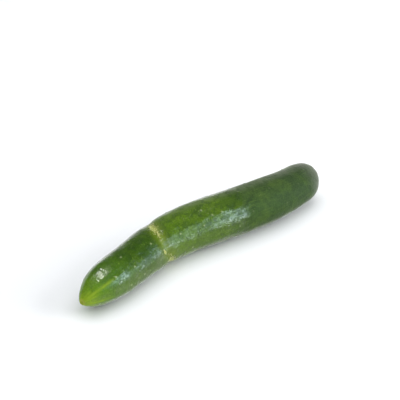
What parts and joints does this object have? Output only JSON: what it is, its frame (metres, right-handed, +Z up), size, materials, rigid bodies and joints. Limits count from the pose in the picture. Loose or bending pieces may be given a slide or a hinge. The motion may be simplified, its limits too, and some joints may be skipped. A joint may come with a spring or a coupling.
{
  "type": "cucumber",
  "caption": "Slim dark green cucumber with a gentle double bend, faint ribs, low warts, a healed ring scar, a pale tapered blossom end and a short cut stalk.",
  "frame": {"origin": "under the middle of the bounding box, on the surface the fruit lies on", "axes": "+X from the blossom end to the stem end, +Y across the fruit in plan, +Z up"},
  "size_m": [0.2074, 0.0408, 0.0284],
  "materials": {
    "skin": null,
    "stalk": "dry, dull, fibrous cut stem"
  },
  "bodies": {
    "root": {"fruit": "skin", "stalk": "stalk"}
  },
  "joints": []
}
